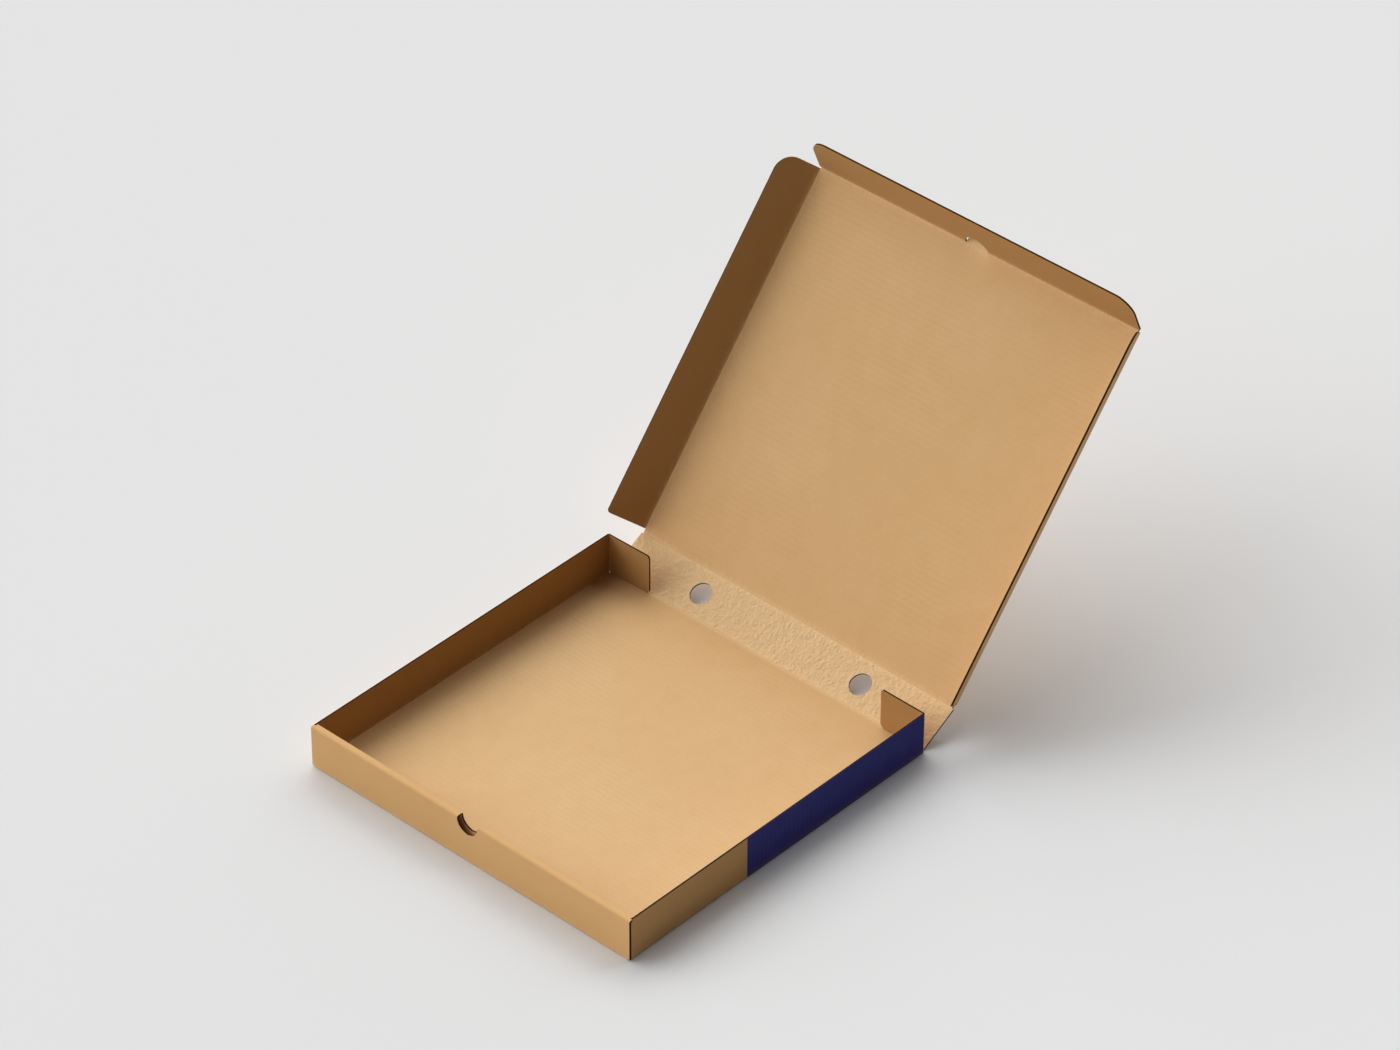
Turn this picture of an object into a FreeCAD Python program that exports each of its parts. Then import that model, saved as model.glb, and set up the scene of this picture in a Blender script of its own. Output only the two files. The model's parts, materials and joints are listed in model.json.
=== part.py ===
"""Open pizza box folded from corrugated board: tray, rear wall, lid and flaps."""
import FreeCAD, Part
import math
import os
import Sketcher

# Sizes in millimetres.
SIZES = {
    # Board and the gaps between its layers and at its folds.
    "board": 1.5,
    "fold_gap": 0.2,
    "layer_gap": 0.3,
    # Tray: outer width, outer depth with the rear wall upright, wall height.
    "tray_width": 330.0,
    "tray_depth": 330.0,
    "wall_height": 38.5,
    # Front wall, rolled over on itself, with corner tabs between its layers.
    "front_thickness": 6.6,
    "corner_tab_length": 40.0,
    "corner_tab_foot": 2.5,
    "notch_width": 21.0,
    "notch_depth": 11.6,
    # Rear wall and its two round vents.
    "rear_wall_end_gap": 0.6,
    "vent_diameter": 19.0,
    "vent_spacing": 166.6,
    "vent_height": 19.6,
    # Dust flaps at the rear ends of the side walls.
    "dust_flap_length": 42.6,
    "dust_flap_corner": 3.0,
    "dust_flap_heel": 4.0,
    "dust_flap_foot": 0.5,
    "dust_flap_drop": 0.2,
    "dust_flap_gap": 0.8,
    "dust_fold_gap": 0.2,
    # Clearances of the closed lid in the tray.
    "lid_rise": 1.5,
    "lid_side_gap": 0.35,
    "lid_front_gap": 1.1,
    # Flaps of the lid.
    "lid_flap_lift": 3.45,
    "lid_flap_front_corner": 16.0,
    "lid_flap_rear_corner": 3.0,
    "lid_flap_rear_gap": 0.35,
    "lid_flap_front_gap": 0.7,
    "front_flap_corner": 16.0,
    "front_flap_end_gap": 0.7,
    # Half-moon thumb tab that stays in the lid when the front flap folds.
    "tab_width": 22.8,
    "tab_reach": 11.0,
    "tab_root": 2.5,
    "tab_gap": 0.3,
    "tab_shoulder": 1.2,
}

# How far each fold is turned as the box stands open, in degrees.
ANGLES = {
    "rear_wall_angle": 29.3,
    "lid_angle": 20.8,
    "left_flap_angle": 57.5,
    "right_flap_angle": 64.1,
    "front_flap_angle": 62.5,
    "dust_flap_splay_angle": 0.6,
}


class Dim:
    """A length that carries both its value and the sheet formula behind it."""

    def __init__(self, value, text):
        self.value = float(value)
        self.text = text

    def __add__(self, other):
        other = as_dim(other)
        return Dim(self.value + other.value, "(%s + %s)" % (self.text, other.text))

    def __sub__(self, other):
        other = as_dim(other)
        return Dim(self.value - other.value, "(%s - %s)" % (self.text, other.text))

    def __mul__(self, other):
        other = as_dim(other)
        return Dim(self.value * other.value, "(%s * %s)" % (self.text, other.text))

    def __truediv__(self, other):
        other = as_dim(other)
        return Dim(self.value / other.value, "(%s / %s)" % (self.text, other.text))

    def __neg__(self):
        return Dim(-self.value, "(0 - %s)" % self.text)


def as_dim(number):
    """Plain numbers, such as a half, join a formula as they are."""
    return number if isinstance(number, Dim) else Dim(number, repr(float(number)))


def root(dim):
    """Square root of a formula."""
    return Dim(math.sqrt(dim.value), "sqrt(%s)" % dim.text)


def fill_sheet(doc):
    """Write every size to the sheet and return the sizes with their formulas."""
    sheet = doc.addObject("Spreadsheet::Sheet", "sizes")
    dims = {}
    for row, (alias, value) in enumerate({**SIZES, **ANGLES}.items(), start=1):
        sheet.set("A%d" % row, alias.replace("_", " "))
        sheet.set("B%d" % row, str(value))
        sheet.setAlias("B%d" % row, alias)
        dims[alias] = Dim(value, "sizes." + alias)
    doc.recompute()
    return dims


def new_body(doc, name):
    """Empty body of one sub-part, with the Label that names its file."""
    body = doc.addObject("PartDesign::Body", name)
    body.Label = name
    return body


def new_sketch(body, name, role, level=None):
    """Sketch on one of the body's origin planes, moved along the plane's normal."""
    sketch = body.newObject("Sketcher::SketchObject", name)
    plane = next(item for item in body.Origin.OriginFeatures if item.Role == role)
    sketch.AttachmentSupport = [(plane, "")]
    sketch.MapMode = "FlatFace"
    if level is not None:
        sketch.setExpression(".AttachmentOffset.Base.z", level.text)
    return sketch


def constrain(sketch, kind, where, dim):
    """Add one sized constraint that follows the sheet."""
    index = sketch.addConstraint(Sketcher.Constraint(kind, *where, dim.value))
    sketch.setExpression("Constraints[%d]" % index, dim.text)


def arc_through(start, end, radius, clockwise):
    """Arc geometry, shorter than half a turn, from start to end."""
    middle = (start + end) / 2
    chord = end - start
    rise = math.sqrt(max(radius ** 2 - chord.Length ** 2 / 4, 0.0))
    side = FreeCAD.Vector(-chord.y, chord.x, 0).normalize()
    centre = middle - side * rise if clockwise else middle + side * rise
    first, last = (end, start) if clockwise else (start, end)
    angle = [math.atan2((point - centre).y, (point - centre).x) for point in (first, last)]
    circle = Part.Circle(centre, FreeCAD.Vector(0, 0, 1), radius)
    return Part.ArcOfCircle(circle, angle[0], angle[1])


def closed_outline(sketch, corners, arcs=None):
    """Closed loop through the corners.

    Each side is straight, apart from those in arcs, which gives a side by the
    number of its first corner: its radius, and whether it turns clockwise
    from that corner to the next.
    """
    arcs = arcs or {}
    corners = [(as_dim(u), as_dim(v)) for u, v in corners]
    points = [FreeCAD.Vector(u.value, v.value, 0) for u, v in corners]
    count = len(points)
    ends = []
    for index, start in enumerate(points):
        end = points[(index + 1) % count]
        if index in arcs:
            radius, clockwise = arcs[index]
            shape = arc_through(start, end, radius.value, clockwise)
            side = sketch.addGeometry(shape)
            ends.append((side, 2, 1) if clockwise else (side, 1, 2))
        else:
            side = sketch.addGeometry(Part.LineSegment(start, end))
            ends.append((side, 1, 2))
    for index, (side, first, last) in enumerate(ends):
        following, start_of, _ = ends[(index + 1) % count]
        join = Sketcher.Constraint("Coincident", side, last, following, start_of)
        sketch.addConstraint(join)
        u, v = corners[index]
        constrain(sketch, "DistanceX", (-1, 1, side, first), u)
        constrain(sketch, "DistanceY", (-1, 1, side, first), v)
        if index in arcs:
            constrain(sketch, "Radius", (side,), arcs[index][0])


def circle_outline(sketch, centre, radius):
    """Circle whose centre and radius follow the sheet."""
    u, v = (as_dim(item) for item in centre)
    centre_point = FreeCAD.Vector(u.value, v.value, 0)
    side = sketch.addGeometry(Part.Circle(centre_point, FreeCAD.Vector(0, 0, 1), radius.value))
    constrain(sketch, "DistanceX", (-1, 1, side, 3), u)
    constrain(sketch, "DistanceY", (-1, 1, side, 3), v)
    constrain(sketch, "Radius", (side,), radius)


def pad(body, sketch, forward, backward=None, reverse=False):
    """Pad by a length, by one length each way, or by half a length each way."""
    feature = body.newObject("PartDesign::Pad", sketch.Name + "_pad")
    feature.Profile = sketch
    feature.Reversed = reverse
    feature.Length = forward.value
    feature.setExpression("Length", forward.text)
    if backward is not None:
        feature.SideType = "Two sides"
        feature.Length2 = backward.value
        feature.setExpression("Length2", backward.text)
    return feature


def pad_evenly(body, sketch, length):
    """Pad half the length to each side of the sketch."""
    feature = pad(body, sketch, length)
    feature.SideType = "Symmetric"
    return feature


def cut_through(doc, body, sketch):
    """Pocket the sketch through the whole body, and make sure that it cuts."""
    doc.recompute()
    before = body.Shape.Volume
    feature = body.newObject("PartDesign::Pocket", sketch.Name + "_cut")
    feature.Profile = sketch
    feature.Type = "ThroughAll"
    feature.SideType = "Symmetric"
    doc.recompute()
    if body.Shape.Volume > before - 1e-3:
        raise RuntimeError("%s removes nothing" % feature.Name)
    return feature


def round_corner(doc, body, name, corner, radius):
    """Fillet the edge that runs through the board at one corner of a flap."""
    doc.recompute()
    base = body.Tip
    names = []
    for index, edge in enumerate(base.Shape.Edges, start=1):
        box = edge.BoundBox
        upright = box.XLength < 1e-4 and box.YLength < 1e-4
        offset = abs(box.XMin - corner[0].value) + abs(box.YMin - corner[1].value)
        if upright and offset < 1e-3:
            names.append("Edge%d" % index)
    if not names:
        raise RuntimeError("%s has no corner to round" % name)
    feature = body.newObject("PartDesign::Fillet", name)
    feature.Base = (base, names)
    feature.Radius = radius.value
    feature.setExpression("Radius", radius.text)
    return feature


def place(body, expression):
    """Bind the body's placement to the sheet and to what the body hangs on."""
    body.setExpression("Placement", expression)


def turn(axis, angle, at=("0", "0", "0")):
    """Placement formula: a turn about an axis, standing at a point."""
    point = "vector(%s; %s; %s)" % at
    return "placement(%s; rotation(vector(%s); %s))" % (point, axis, angle)


def half_round(dims):
    """Radius of a folding edge: half the board."""
    return dims["board"] / 2


def socket(dims):
    """Radius of the groove that a folding edge turns in."""
    return half_round(dims) + dims["fold_gap"]


def socket_lip(dims):
    """How far the groove's outer lip stops short of the fold line."""
    return root(socket(dims) * socket(dims) - half_round(dims) * half_round(dims))


def rear_fold(dims):
    """Distance of the rear fold line from the middle of the base."""
    return dims["tray_depth"] / 2 - dims["board"] / 2


def rear_wall_width(dims):
    """Full width of the rear wall, which stands between the side walls."""
    return (inner_half_width(dims) - dims["rear_wall_end_gap"]) * 2


def rear_wall_length(dims):
    """Fold line to fold line: the walls' height and the lid's rise above them."""
    return dims["wall_height"] + dims["lid_rise"]


def inner_half_width(dims):
    """Middle of the tray to the inner face of a side wall."""
    return dims["tray_width"] / 2 - dims["board"]


def dust_fold(dims):
    """Distance of the dust flaps' fold line from the middle of the base."""
    return dims["tray_depth"] / 2 - dims["board"] * 2 - dims["dust_flap_gap"]


def lid_half_width(dims):
    """Middle of the lid to the fold line of a side flap."""
    return inner_half_width(dims) - dims["lid_side_gap"] - half_round(dims)


def lid_length(dims):
    """Rear fold line to front fold line of the lid."""
    front_face = dims["front_thickness"] + dims["lid_front_gap"] + half_round(dims)
    return dims["tray_depth"] - half_round(dims) - front_face


def lid_flap_depth(dims):
    """Fold line to free edge of the lid's flaps, which stand clear of the base."""
    return rear_wall_length(dims) - half_round(dims) - dims["lid_flap_lift"]


def tab_radius(dims):
    """Radius of the thumb tab's round edge, from its chord and its reach."""
    half_chord = dims["tab_width"] / 2
    reach = dims["tab_reach"]
    return (half_chord * half_chord + reach * reach) / (reach * 2)


def make_tray(doc, dims):
    """Base, side walls, rolled front wall and corner tabs, folded from one sheet."""
    body = new_body(doc, "tray")
    board = dims["board"]
    height = dims["wall_height"]
    half_width = dims["tray_width"] / 2
    inside = inner_half_width(dims)
    front = -(dims["tray_depth"] / 2)
    roll = dims["front_thickness"] / 2
    roll_level = height - roll
    roll_middle = front + roll
    wall_start = front + board + dims["layer_gap"]
    wall_end = dust_fold(dims) - dims["dust_fold_gap"]

    # Base and side walls: a channel with rounded outer folds.
    channel = new_sketch(body, "channel", "XZ_Plane")
    closed_outline(channel, [
        (-inside, 0), (inside, 0), (half_width, board), (half_width, height),
        (inside, height), (inside, board), (-inside, board), (-inside, height),
        (-half_width, height), (-half_width, board),
    ], {1: (board, False), 9: (board, False)})
    pad(body, channel, -wall_start, wall_end)

    # The side walls are cut away under the roll of the front wall.
    relief = new_sketch(body, "roll_relief", "YZ_Plane")
    inner_roll = roll - board - dims["layer_gap"]
    relief_top = roll_level + inner_roll
    relief_end = roll_middle + dims["layer_gap"]
    closed_outline(relief, [
        (wall_start, roll_level), (roll_middle, relief_top), (relief_end, relief_top),
        (relief_end, height + board), (wall_start - board, height + board),
        (wall_start - board, roll_level),
    ], {0: (inner_roll, True)})
    cut_through(doc, body, relief)

    # Outer layer of the front wall and the first half of its roll.
    outer_layer = new_sketch(body, "outer_layer", "YZ_Plane")
    closed_outline(outer_layer, [
        (front, board), (front, roll_level), (roll_middle, height),
        (roll_middle, height - board), (front + board, roll_level), (front + board, board),
    ], {1: (roll, True), 3: (roll - board, False)})
    pad_evenly(body, outer_layer, dims["tray_width"])

    # Fold between the base and the front wall.
    front_fold = new_sketch(body, "front_fold", "YZ_Plane")
    closed_outline(front_fold, [
        (front + board, 0), (front, board), (front + roll * 2, board), (front + roll * 2, 0),
    ], {0: (board, True)})
    pad_evenly(body, front_fold, inside * 2)

    # Second half of the roll and the inner layer, which ends just above the base.
    inner_layer = new_sketch(body, "inner_layer", "YZ_Plane")
    inner_face = front + dims["front_thickness"]
    foot = board + dims["layer_gap"]
    closed_outline(inner_layer, [
        (roll_middle, height), (inner_face, roll_level), (inner_face, foot),
        (inner_face - board, foot), (inner_face - board, roll_level),
        (roll_middle, height - board),
    ], {0: (roll, True), 4: (roll - board, False)})
    pad_evenly(body, inner_layer, (inside - dims["layer_gap"]) * 2)

    # Corner tabs, turned in from the side walls between the two layers.
    tabs = new_sketch(body, "corner_tabs", "XZ_Plane", -wall_start)
    reach = inside - dims["corner_tab_length"]
    for outer, inner in ((inside, reach), (-inside, -reach)):
        closed_outline(tabs, [
            (outer, dims["corner_tab_foot"]), (outer, roll_level),
            (inner, roll_level), (inner, dims["corner_tab_foot"]),
        ])
    pad(body, tabs, board, reverse=True)

    # Rear edge of the base, grooved for the rear wall's folding edge.
    rear_edge = new_sketch(body, "rear_edge", "YZ_Plane")
    fold = rear_fold(dims)
    closed_outline(rear_edge, [
        (dust_fold(dims) - dims["dust_flap_corner"], 0), (fold - socket_lip(dims), 0),
        (fold - socket(dims), half_round(dims)), (fold - socket(dims), board),
        (dust_fold(dims) - dims["dust_flap_corner"], board),
    ], {1: (socket(dims), True)})
    pad_evenly(body, rear_edge, rear_wall_width(dims))

    # Thumb notch through both layers of the front wall.
    notch = new_sketch(body, "thumb_notch", "XZ_Plane")
    half_notch = dims["notch_width"] / 2
    notch_bottom = height - dims["notch_depth"]
    closed_outline(notch, [
        (-half_notch, height + board), (-half_notch, notch_bottom + half_notch),
        (0, notch_bottom), (half_notch, notch_bottom + half_notch),
        (half_notch, height + board),
    ], {1: (half_notch, False), 2: (half_notch, False)})
    cut_through(doc, body, notch)
    return body


def panel_section(dims, length):
    """Section of a panel: folding edge at the start, groove at the far fold."""
    edge = half_round(dims)
    corners = [
        (0, -edge), (length - socket_lip(dims), -edge), (length - socket(dims), 0),
        (length - socket(dims), edge), (0, edge), (-edge, 0),
    ]
    arcs = {1: (socket(dims), True), 4: (edge, False), 5: (edge, False)}
    return corners, arcs


def make_rear_wall(doc, dims):
    """Rear wall: lies along its own Y, with the inside of the box on its +Z side."""
    body = new_body(doc, "rear_wall")
    section = new_sketch(body, "rear_section", "YZ_Plane")
    closed_outline(section, *panel_section(dims, rear_wall_length(dims)))
    pad_evenly(body, section, rear_wall_width(dims))
    vents = new_sketch(body, "vents", "XY_Plane")
    half_spacing = dims["vent_spacing"] / 2
    for side in (half_spacing, -half_spacing):
        circle_outline(vents, (side, dims["vent_height"]), dims["vent_diameter"] / 2)
    cut_through(doc, body, vents)
    place(body, turn("1; 0; 0", "sizes.rear_wall_angle",
                     ("0", rear_fold(dims).text, half_round(dims).text)))
    return body


def make_lid(doc, dims):
    """Lid panel with grooves for its three flaps and the half-moon thumb tab."""
    body = new_body(doc, "lid")
    edge = half_round(dims)
    side = lid_half_width(dims)
    length = lid_length(dims)
    section = new_sketch(body, "lid_section", "YZ_Plane")
    closed_outline(section, *panel_section(dims, length))
    pad_evenly(body, section, side * 2)

    grooves = new_sketch(body, "side_grooves", "XZ_Plane")
    beyond = side + dims["board"]
    for sign in (1, -1):
        closed_outline(grooves, [
            ((side - socket_lip(dims)) * sign, -edge), ((side - socket(dims)) * sign, 0),
            ((side - socket(dims)) * sign, edge), ((side - socket(dims)) * sign, edge * 2),
            (beyond * sign, edge * 2), (beyond * sign, -edge * 2),
            ((side - socket_lip(dims)) * sign, -edge * 2),
        ], {0: (socket(dims), sign > 0)})
    cut_through(doc, body, grooves)

    tab = new_sketch(body, "thumb_tab", "XY_Plane")
    start = length - dims["tab_root"]
    half_chord = dims["tab_width"] / 2
    radius = tab_radius(dims)
    closed_outline(tab, [
        (-half_chord, start), (half_chord, start), (half_chord, length),
        (0, length + dims["tab_reach"]), (-half_chord, length),
    ], {2: (radius, False), 3: (radius, False)})
    pad_evenly(body, tab, dims["board"])
    lid_turn = turn("1; 0; 0", "sizes.lid_angle", ("0", rear_wall_length(dims).text, "0"))
    place(body, "rear_wall.Placement * " + lid_turn)
    return body


def make_lid_flap(doc, dims, name, span, corner_radii, fold_at):
    """Flap of the lid, lying along its own Y from its folding edge to its free edge.

    span gives the two ends along the fold, corner_radii the free corner at each
    end, and fold_at the placement formula of the fold line in the lid.
    """
    body = new_body(doc, name)
    edge = half_round(dims)
    depth = lid_flap_depth(dims)
    section = new_sketch(body, name + "_section", "YZ_Plane")
    closed_outline(section, [
        (0, -edge), (depth, -edge), (depth, edge), (0, edge), (-edge, 0),
    ], {3: (edge, False), 4: (edge, False)})
    pad(body, section, span[1], -span[0])
    for number, (end, radius) in enumerate(zip(span, corner_radii), start=1):
        round_corner(doc, body, "%s_corner_%d" % (name, number), (end, depth), radius)
    fold = turn("1; 0; 0", "sizes.%s_angle" % name.replace("lid_", ""))
    place(body, "lid.Placement * %s * %s" % (fold_at, fold))
    return body


def make_lid_flaps(doc, dims):
    """The two side flaps and the front flap, which is cut out around the tab."""
    rear_end = half_round(dims) + dims["board"] + dims["dust_flap_gap"]
    rear_end = rear_end + dims["lid_flap_rear_gap"]
    front_end = lid_length(dims) - half_round(dims) - dims["lid_flap_front_gap"]
    side = lid_half_width(dims)
    rear_radius = dims["lid_flap_rear_corner"]
    front_radius = dims["lid_flap_front_corner"]
    left_at = turn("0; 0; 1", "90", ((-side).text, "0", "0"))
    left = make_lid_flap(doc, dims, "lid_left_flap", (rear_end, front_end),
                         (rear_radius, front_radius), left_at)
    right_at = turn("0; 0; 1", "-90", (side.text, "0", "0"))
    right = make_lid_flap(doc, dims, "lid_right_flap", (-front_end, -rear_end),
                          (front_radius, rear_radius), right_at)
    end = inner_half_width(dims) - dims["front_flap_end_gap"]
    corner = dims["front_flap_corner"]
    front_at = turn("0; 0; 1", "0", ("0", lid_length(dims).text, "0"))
    front = make_lid_flap(doc, dims, "lid_front_flap", (-end, end), (corner, corner), front_at)
    slot = new_sketch(front, "tab_slot", "XY_Plane")
    radius = tab_radius(dims) + dims["tab_gap"]
    reach = dims["tab_reach"] + dims["tab_gap"]
    root_half = dims["tab_width"] / 2 + dims["tab_gap"]
    shoulder = dims["tab_shoulder"]
    rise = radius - reach + shoulder
    round_half = root(radius * radius - rise * rise)
    closed_outline(slot, [
        (-root_half, -dims["board"]), (root_half, -dims["board"]), (root_half, shoulder),
        (round_half, shoulder), (0, reach), (-round_half, shoulder), (-root_half, shoulder),
    ], {3: (radius, False), 4: (radius, False)})
    cut_through(doc, front, slot)
    return [left, right, front]


def make_dust_flap(doc, dims, name, sign):
    """Dust flap, lying along its own Y from a knuckle that closes the box's corner."""
    body = new_body(doc, name)
    board = dims["board"]
    length = dims["dust_flap_length"]
    section = new_sketch(body, name + "_section", "YZ_Plane")
    closed_outline(section, [
        (-board, 0), (0, -board), (length, -board), (length, 0),
    ], {0: (board, False)})
    low = board + dims["dust_flap_foot"]
    high = dims["wall_height"] - dims["dust_flap_drop"]
    ends = (low, high) if sign > 0 else (-high, -low)
    radii = (dims["dust_flap_heel"], dims["dust_flap_corner"])
    pad(body, section, ends[1], -ends[0])
    for number, (end, radius) in enumerate(zip(ends, radii[::sign]), start=1):
        round_corner(doc, body, "%s_corner_%d" % (name, number), (end, length), radius)
    side = (inner_half_width(dims) * sign).text
    stand = turn("0; 1; 0", "-90" if sign > 0 else "90", (side, dust_fold(dims).text, "0"))
    quarter = turn("1; 0; 0", "90 - sizes.dust_flap_splay_angle")
    place(body, "%s * %s" % (stand, quarter))
    return body


def check_and_export(doc, bodies):
    """Stop on any failed object or bad solid, then write one file for each piece."""
    doc.recompute()
    for item in doc.Objects:
        if {"Invalid", "Error"} & set(item.State):
            raise RuntimeError("%s failed: %s" % (item.Name, item.State))
    os.makedirs("parts", exist_ok=True)
    for body in bodies:
        shape = body.Shape
        if shape.isNull() or not shape.isValid() or len(shape.Solids) != 1:
            raise RuntimeError("%s is not one sound solid" % body.Label)
        shape.exportStep("parts/%s.step" % body.Label)
        print("%-16s %9.1f mm3  %s" % (body.Label, shape.Volume, shape.BoundBox))


def main():
    """Build the box and write its pieces."""
    doc = FreeCAD.newDocument("pizza_box")
    dims = fill_sheet(doc)
    bodies = [make_tray(doc, dims), make_rear_wall(doc, dims), make_lid(doc, dims)]
    bodies += make_lid_flaps(doc, dims)
    bodies.append(make_dust_flap(doc, dims, "left_dust_flap", -1))
    bodies.append(make_dust_flap(doc, dims, "right_dust_flap", 1))
    check_and_export(doc, bodies)


main()
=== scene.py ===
import json
import math

import bpy
import numpy as np
from bpy.props import FloatProperty, FloatVectorProperty, PointerProperty
from bpy.types import Operator, Panel, PropertyGroup
from mathutils import Matrix, Vector


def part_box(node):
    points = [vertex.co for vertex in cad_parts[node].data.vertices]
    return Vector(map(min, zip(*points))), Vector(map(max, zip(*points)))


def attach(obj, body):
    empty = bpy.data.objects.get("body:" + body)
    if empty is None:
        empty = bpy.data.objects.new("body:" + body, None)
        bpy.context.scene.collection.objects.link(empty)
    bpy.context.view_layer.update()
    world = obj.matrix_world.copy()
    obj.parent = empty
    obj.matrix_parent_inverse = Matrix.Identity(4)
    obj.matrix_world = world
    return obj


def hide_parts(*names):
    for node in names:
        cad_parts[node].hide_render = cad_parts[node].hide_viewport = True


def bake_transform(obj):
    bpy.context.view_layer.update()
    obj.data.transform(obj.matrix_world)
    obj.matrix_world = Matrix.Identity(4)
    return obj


bl_info = {
    "name": "Pizza Box",
    "version": (1, 0, 0),
    "blender": (4, 5, 0),
    "location": "3D View > Sidebar > Pizza Box",
    "description": "Corrugated board panels and creases of an open pizza box",
    "category": "Add Mesh",
}

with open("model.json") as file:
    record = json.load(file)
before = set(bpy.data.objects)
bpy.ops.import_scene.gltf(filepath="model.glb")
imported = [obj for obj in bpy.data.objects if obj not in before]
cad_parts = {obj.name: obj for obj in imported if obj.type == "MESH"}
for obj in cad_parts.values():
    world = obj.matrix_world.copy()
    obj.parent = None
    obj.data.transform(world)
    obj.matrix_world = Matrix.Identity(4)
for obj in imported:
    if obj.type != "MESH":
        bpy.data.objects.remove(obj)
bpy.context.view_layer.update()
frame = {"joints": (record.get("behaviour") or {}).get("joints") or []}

X = np.array([1.0, 0.0, 0.0])
Y = np.array([0.0, 1.0, 0.0])
Z = np.array([0.0, 0.0, 1.0])
FOLDS = {joint["name"]: joint for joint in frame["joints"]}

# Degrees from the flat board to a fold's lower limit.
FLAT_LIMIT = 0.5

# Finishes in slot order. The hollows' finish is painted shade, near black for the shade inside the
# flutes, and the fluting's finish is partly painted shade.
INSIDE, OUTSIDE, PRINTED, HOLLOW_SHADE, FLUTE = range(5)

# Painted light and shade of each panel's liners, for how the lamps fall on it: 0 is plain, more is
# paler (painted light, most on the rear wall) and less is browner (painted shade, most on the side
# walls and flaps).
PAINTED_LIGHT_TONES = {
    "front_wall": 0.08, "side_wall": -0.5, "rear_wall": 0.42, "lid": -0.1,
    "side_flap": -0.36, "front_flap": -0.34, "dust_flap": -0.36,
    "rear_crease": 0.1, "lid_crease": 0.05, "flap_crease": 0.0,
}
# Painted light of the base at its front, and how far a painted shade darkens it towards the rear.
BASE_LIGHT_TONE, BASE_SHADE_FALL = 0.12, 0.26
BASE_CRUMPLE, REAR_WALL_CRUMPLE, LID_CRUMPLE = 0.12, 0.85, 0.06

# Metres from an edge at which points close up, and at which even spacing starts.
EDGE_STEPS = np.array([0.001, 0.0025, 0.005])
EDGE_MARGIN = 0.01

# Metres of close rows at the end of the base and of a dust flap.
BASE_END, DUST_END = 0.012, 0.01

# Metres between the two rows where an outline jumps.
JUMP = 1e-7

# Rows over a bend, a crease, a dense stretch and a layer of the front wall.
BEND_ROWS, CREASE_ROWS, DENSE_ROWS, LAYER_ROWS = 13, 17, 33, 60

# Strips along a crease's length.
CREASE_STRIPS = 40

# Rows of the fluting to one pitch, in a straight run and in the rolled one.
STRAIGHT_WAVE, ROLLED_WAVE = 12, 16

# Metres that wear reaches in from an edge.
WEAR_REACH = 0.0018

# Metres that the fluting is sunk into the liners, so that no light shows between them.
FLUTING_SINK = 0.00002

# Metres of the inner radius of a quarter-round fold.
FOLD_HEART = 0.00003

# Degrees past which an edge is drawn sharp.
SHARP_ANGLE = 30


# Sizes and colours


class BoardSizes(PropertyGroup):
    """The corrugated board that every panel is cut from"""

    thickness: FloatProperty(
        name="Board", description="Thickness of the board", default=0.0015, unit="LENGTH")
    liner: FloatProperty(
        name="Liner", description="Thickness of each flat liner", default=0.00024, unit="LENGTH")
    medium: FloatProperty(
        name="Fluting", description="Thickness of the wavy paper", default=0.0002, unit="LENGTH")
    pitch: FloatProperty(
        name="Flute pitch", description="Length of one wave of the fluting", default=0.005,
        unit="LENGTH")
    recess: FloatProperty(
        name="Fluting recess", description="How far the fluting stops short of a cut edge",
        default=0.00006, unit="LENGTH")
    crease: FloatProperty(
        name="Half crease", description="Half the width of a crease", default=0.00105,
        unit="LENGTH")
    groove: FloatProperty(
        name="Crease groove", description="Depth of a crease's groove on the inside",
        default=0.00012, unit="LENGTH")
    bow: FloatProperty(
        name="Lid bow", description="How far the lid panel bows outward", default=0.0009,
        unit="LENGTH")


class TraySizes(PropertyGroup):
    """The tray's rolled front wall, notch, vents and corner tabs"""

    roll: FloatProperty(
        name="Roll radius", description="Outer radius of the rolled front edge", default=0.0033,
        unit="LENGTH")
    bend: FloatProperty(
        name="Roll bend", description="Radius of the two bends of the rolled front edge",
        default=0.0011, unit="LENGTH")
    gap: FloatProperty(
        name="Layer gap", description="Gap between layers that lie together", default=0.0003,
        unit="LENGTH")
    notch: FloatProperty(
        name="Notch radius", description="Radius of the thumb notch", default=0.0105,
        unit="LENGTH")
    notch_depth: FloatProperty(
        name="Notch depth", description="Depth of the thumb notch", default=0.0116,
        unit="LENGTH")
    tab: FloatProperty(
        name="Corner tab", description="Length of the corner tabs", default=0.04, unit="LENGTH")
    tab_foot: FloatProperty(
        name="Corner tab foot", description="Height at which the corner tabs start",
        default=0.0025, unit="LENGTH")
    vent: FloatProperty(
        name="Vent radius", description="Radius of the round vents", default=0.0095,
        unit="LENGTH")
    vent_offset: FloatProperty(
        name="Vent offset", description="Middle of the rear wall to a vent", default=0.0833,
        unit="LENGTH")
    vent_height: FloatProperty(
        name="Vent height", description="Rear fold to the middle of a vent", default=0.0196,
        unit="LENGTH")


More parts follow.
